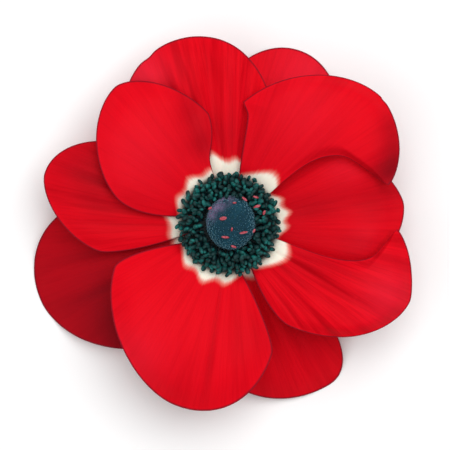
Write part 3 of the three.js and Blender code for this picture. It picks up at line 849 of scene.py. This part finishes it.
def tepal_material(s):
    """Silky red with fine fanning veins, a white base and a paler back; painted shade,
    painted pinkish sheen and a painted dark line along the margin are laid into the red.
    """
    n = Nodes("tepal_silk", roughness=0.55, specular=0.03)
    vein = n.attribute("vein", "Vector")
    fine = n.noise(n.scaled(vein, (70.0, 0.09, 7.3)), 1.0, 3.0, 0.6)
    broad = n.noise(n.scaled(vein, (17.0, 0.05, 3.1)), 1.0, 2.0, 0.5)
    grain = n.noise(n.object_coordinates(), 1400.0, 2.0, 0.6)
    strength = n.attribute("streak")
    streak = n.maths("MULTIPLY", n.ramp(fine, 0.4, 0.75), n.maths("MULTIPLY", strength, 0.8))
    colour = n.mix(streak, s.red, s.deep_red)
    colour = n.mix(n.maths("MULTIPLY", n.ramp(broad, 0.45, 0.75), strength), colour, s.deep_red)
    # painted sheen: pinkish highlight patches
    colour = n.mix(n.attribute("glow"), colour, s.glow)
    # painted shade: the red deepened where the tepals lie in shadow
    colour = n.mix(n.attribute("shade"), colour, s.shade_red)
    white = n.maths("ADD", n.attribute("white"),
                    n.maths("MULTIPLY", n.maths("SUBTRACT", fine, 0.5), 0.35))
    # the white base is dimmed where the painted shade is deep
    white = n.maths("MULTIPLY", white, n.ramp(n.attribute("shade"), 0.5, 1.2, 1.0, 0.4))
    colour = n.mix(n.ramp(white, 0.08, 0.6), colour, s.pink)
    colour = n.mix(n.ramp(white, 0.45, 0.95), colour, s.cream)
    colour = n.mix(n.attribute("foot"), colour, s.inmost)
    # painted shade: a thin dark line laid along the margin, where it turns away
    edge = n.maths("ADD", n.attribute("rim"), n.maths("MULTIPLY", broad, 0.008))
    colour = n.mix(n.ramp(edge, 0.978, 1.006, 0.0, 0.9), colour, s.painted_margin_shade)
    back = n.mix(n.maths("MULTIPLY", streak, 0.8), s.underside, s.deep_red)
    colour = n.mix(n.ramp(n.attribute("back"), 0.6, 0.9), colour, back)
    n.colour(colour)
    n.bump(n.maths("ADD", fine, n.maths("MULTIPLY", grain, 0.25)), 0.35, 0.00012)
    n.shader.inputs["Sheen Weight"].default_value = 0.02
    n.shader.inputs["Sheen Roughness"].default_value = 0.4
    n.shader.inputs["Sheen Tint"].default_value = (1.0, 0.35, 0.45, 1.0)
    n.shader.inputs["Subsurface Weight"].default_value = 0.06
    n.shader.inputs["Subsurface Radius"].default_value = (1.0, 0.15, 0.1)
    n.shader.inputs["Subsurface Scale"].default_value = 0.0008
    return n.material


def stamen_material(s):
    """Green-black anthers with grey-green pollen grain, on blackish threads."""
    n = Nodes("stamen_dark", roughness=0.62, specular=0.3)
    where = n.object_coordinates()
    patches = n.noise(where, 620.0, 2.0, 0.6)
    grain = n.noise(where, 3800.0, 2.0, 0.7)
    colour = n.mix(n.ramp(patches, 0.42, 0.72), s.anther, s.pollen)
    colour = n.mix(n.ramp(grain, 0.62, 0.78, 0.0, 0.55), colour, s.pollen)
    thread = n.mix(n.ramp(patches, 0.35, 0.7), s.anther, s.carpel)
    colour = n.mix(n.attribute("kind"), thread, colour)
    n.colour(colour)
    n.bump(grain, 0.6, 0.00006)
    return n.material


def carpel_material(s):
    """Dark blue carpels, pale down; painted shade in dimples, painted rim and lavender highlights.
    """
    n = Nodes("carpel_down", roughness=0.8, specular=0.2)
    where = n.object_coordinates()
    cloud = n.noise(where, 420.0, 3.0, 0.6)
    grain = n.noise(where, 3000.0, 2.0, 0.7)
    turned = n.add("ShaderNodeLayerWeight")
    turned.inputs["Blend"].default_value = 0.5
    colour = n.mix(n.ramp(cloud, 0.4, 0.8, 0.0, 0.3), s.carpel, s.down)
    colour = n.mix(n.ramp(grain, 0.62, 0.78, 0.0, 0.35), colour, s.down)
    # painted shade: the dimples between the carpels darkened towards the anthers' green-black
    colour = n.mix(n.ramp(n.attribute("bump"), 0.0, 0.5, 0.6, 0.0), colour, s.anther)
    # painted rim highlight: paler blue where the dome turns away from the view
    colour = n.mix(n.ramp(turned.outputs["Facing"], 0.4, 0.6), colour, s.rim)
    # painted highlight: lavender laid on the upper left side of the dome, in clouds
    plan = n.add("ShaderNodeSeparateXYZ")
    n.link(where, plan.inputs["Vector"])
    side = n.maths("SUBTRACT", plan.outputs["Y"], plan.outputs["X"])
    middle = (HEAD_Y - HEAD_X) * MM
    flush = n.maths("MULTIPLY", n.ramp(side, middle + 0.0025, middle + 0.0068),
                    n.ramp(cloud, 0.3, 0.6))
    colour = n.mix(n.maths("MULTIPLY", flush, 0.6), colour, s.flush)
    n.colour(colour)
    n.bump(grain, 0.5, 0.00008)
    n.shader.inputs["Sheen Weight"].default_value = 0.06
    n.shader.inputs["Sheen Roughness"].default_value = 0.6
    n.shader.inputs["Sheen Tint"].default_value = (0.6, 0.8, 1.0, 1.0)
    return n.material


def style_material(s):
    """Blue-grey styles, with a painted paler rim where they turn away from the view."""
    n = Nodes("style_blue", roughness=0.75, specular=0.2)
    tone = n.noise(n.object_coordinates(), 1500.0, 1.0)
    turned = n.add("ShaderNodeLayerWeight")
    turned.inputs["Blend"].default_value = 0.5
    blue = n.mix(n.ramp(tone, 0.35, 0.7, 0.0, 0.35), s.carpel, s.down)
    # painted rim highlight: paler blue where the styles turn away from the view
    n.colour(n.mix(n.ramp(turned.outputs["Facing"], 0.4, 0.6, 0.0, 0.9), blue, s.rim))
    n.bump(tone, 0.2, 0.00003)
    return n.material


def fleck_material(s):
    """Soft pink scraps with darker red grain."""
    n = Nodes("fleck_pink", roughness=0.7, specular=0.2)
    tone = n.noise(n.object_coordinates(), 2600.0, 2.0)
    n.colour(n.mix(n.ramp(tone, 0.35, 0.7), s.fleck, (0.30, 0.02, 0.03)))
    n.bump(tone, 0.3, 0.00004)
    return n.material


def stalk_material(s):
    """Green with a purple flush above, lengthwise streaks and a pale cut end."""
    n = Nodes("stalk_green", roughness=0.6, specular=0.3)
    where = n.object_coordinates()
    split = n.add("ShaderNodeSeparateXYZ")
    n.link(where, split.inputs["Vector"])
    streak = n.noise(n.scaled(where, (2200.0, 2200.0, 90.0)), 1.0, 2.0)
    cloud = n.noise(where, 350.0, 2.0)
    colour = n.mix(n.ramp(streak, 0.4, 0.7, 0.0, 0.5), s.green, s.purple)
    flush = n.maths("ADD", n.ramp(split.outputs["Z"], 0.002, 0.009),
                    n.ramp(cloud, 0.4, 0.7, -0.3, 0.3))
    colour = n.mix(n.ramp(flush, 0.2, 1.1, 0.0, 0.75), colour, s.purple)
    colour = n.mix(n.ramp(split.outputs["Z"], 0.0108, 0.0114), colour, s.dark)
    colour = n.mix(n.ramp(split.outputs["Z"], 0.00006, 0.00022, 1.0, 0.0), colour, s.pith)
    n.colour(colour)
    n.bump(streak, 0.3, 0.0001)
    return n.material


# ---- operators -------------------------------------------------------------------------------

FLOOR_HALF_WIDTH = 900.0
VIEW_WIDTH = 0.0906  # how much the camera takes in at the level below, in metres
VIEW_LEVEL = 0.012


class ANEMONE_OT_tepals(bpy.types.Operator):
    """Make the ten tepals"""

    bl_idname = "anemone.tepals"
    bl_label = "Tepals"

    def execute(self, context):
        settings = context.scene.anemone_tepals
        material = tepal_material(settings)
        for name, shape in TEPALS.items():
            piece = tepal_mesh(name + "_sheet", shape, settings)
            hand_over(piece, material, "tepals", name)
        return {"FINISHED"}


class ANEMONE_OT_stamens(bpy.types.Operator):
    """Make the rows of stamens"""

    bl_idname = "anemone.stamens"
    bl_label = "Stamens"

    def execute(self, context):
        settings = context.scene.anemone_centre
        material = stamen_material(settings)
        for seed, node in enumerate(("stamens_inner", "stamens_middle", "stamens_outer")):
            rows = [row for row in STAMEN_ROWS if row["node"] == node]
            feet, tips, rng = stamen_centres(rows, seed)
            sacs = anthers(feet, tips, settings.anther_length / MM, settings.anther_width / MM, rng)
            points, faces, kinds = joined(filaments(feet, tips), sacs)
            piece = new_object(node + "_threads", points, faces, {"kind": kinds})
            hand_over(piece, material, "stamens", node)
        return {"FINISHED"}


class ANEMONE_OT_carpels(bpy.types.Operator):
    """Make the carpel head, its styles and the pink flecks"""

    bl_idname = "anemone.carpels"
    bl_label = "Carpels"

    def execute(self, context):
        settings = context.scene.anemone_centre
        points, faces, bump = carpel_mesh()
        dome = new_object("carpel_dome", points, faces, {"bump": bump})
        hand_over(dome, carpel_material(settings), "carpels", "carpel_head")
        points, faces = style_mesh(settings.styles, np.random.default_rng(21))
        hand_over(new_object("carpel_styles", points, faces), style_material(settings), "carpels")
        points, faces = fleck_mesh()
        hand_over(new_object("pink_flecks", points, faces), fleck_material(settings), "carpels")
        return {"FINISHED"}


class ANEMONE_OT_stalk(bpy.types.Operator):
    """Make the cut stalk with its receptacle and down"""

    bl_idname = "anemone.stalk"
    bl_label = "Stalk"

    def execute(self, context):
        settings = context.scene.anemone_stalk
        material = stalk_material(settings)
        piece = new_object("stalk_and_receptacle", *stalk_mesh())
        hand_over(piece, material, "stalk", "stalk")
        down = new_object("stalk_down", *hair_mesh(settings.hair_length / MM), smooth=False)
        hand_over(down, material, "stalk")
        return {"FINISHED"}


class ANEMONE_OT_stage(bpy.types.Operator):
    """Make the pale floor, the soft lights and the camera above the flower"""

    bl_idname = "anemone.stage"
    bl_label = "Stage"

    def execute(self, context):
        scene = context.scene
        scene.view_settings.view_transform = "Standard"
        corners = np.array([(-1, -1, 0), (1, -1, 0), (1, 1, 0), (-1, 1, 0)]) * FLOOR_HALF_WIDTH
        floor = new_object("floor", corners, [[(0, 1, 2, 3)]], smooth=False)
        n = Nodes("floor_pale", roughness=0.9, specular=0.1)
        n.colour(n.mix(n.noise(n.object_coordinates(), 6.0, 1.0), (0.955, 0.955, 0.955),
                       (0.965, 0.965, 0.965)))
        floor.data.materials.append(n.material)
        world = bpy.data.worlds.new("studio")
        world.use_nodes = True
        world.node_tree.nodes["Background"].inputs["Color"].default_value = (1.0, 1.0, 1.0, 1.0)
        world.node_tree.nodes["Background"].inputs["Strength"].default_value = 0.36
        scene.world = world
        self.lamp("key", (0.20, 0.30, 0.80), 0.8, 6.2)
        self.lamp("fill", (-0.40, -0.20, 0.7), 0.9, 2.2)
        camera = bpy.data.objects.new("camera", bpy.data.cameras.new("camera"))
        camera.data.lens = 200.0
        camera.data.sensor_width = 36.0
        away = VIEW_WIDTH / camera.data.sensor_width * camera.data.lens
        camera.location = (0.0009, -0.0004, VIEW_LEVEL + away)
        camera.rotation_euler = (0.0, 0.0, 0.0)
        camera.data.clip_start = 0.01
        camera.data.clip_end = 10.0
        scene.collection.objects.link(camera)
        scene.camera = camera
        return {"FINISHED"}

    def lamp(self, name, place, size, power):
        """A square soft light aimed at the middle of the flower."""
        lamp = bpy.data.objects.new(name, bpy.data.lights.new(name, "AREA"))
        lamp.data.size = size
        lamp.data.energy = power
        lamp.location = place
        lamp.rotation_euler = (-Vector(place)).to_track_quat("-Z", "Y").to_euler()
        bpy.context.scene.collection.objects.link(lamp)


class ANEMONE_PT_panel(bpy.types.Panel):
    """Lists the steps that build the flower"""

    bl_idname = "ANEMONE_PT_panel"
    bl_label = "Anemone"
    bl_space_type = "VIEW_3D"
    bl_region_type = "UI"
    bl_category = "Anemone"

    def draw(self, context):
        for operator in OPERATORS:
            self.layout.operator(operator.bl_idname)


SETTINGS = {
    "anemone_tepals": TepalSettings,
    "anemone_centre": CentreSettings,
    "anemone_stalk": StalkSettings,
}
OPERATORS = (ANEMONE_OT_tepals, ANEMONE_OT_stamens, ANEMONE_OT_carpels, ANEMONE_OT_stalk,
             ANEMONE_OT_stage)


def register():
    for cls in (*SETTINGS.values(), *OPERATORS, ANEMONE_PT_panel):
        bpy.utils.register_class(cls)
    for key, cls in SETTINGS.items():
        setattr(bpy.types.Scene, key, PointerProperty(type=cls))


def unregister():
    for key in SETTINGS:
        delattr(bpy.types.Scene, key)
    for cls in reversed((*SETTINGS.values(), *OPERATORS, ANEMONE_PT_panel)):
        bpy.utils.unregister_class(cls)


def main():
    """Runs every step in order."""
    register()
    bpy.ops.anemone.tepals()
    bpy.ops.anemone.stamens()
    bpy.ops.anemone.carpels()
    bpy.ops.anemone.stalk()
    bpy.ops.anemone.stage()


if __name__ == "__main__":
    main()
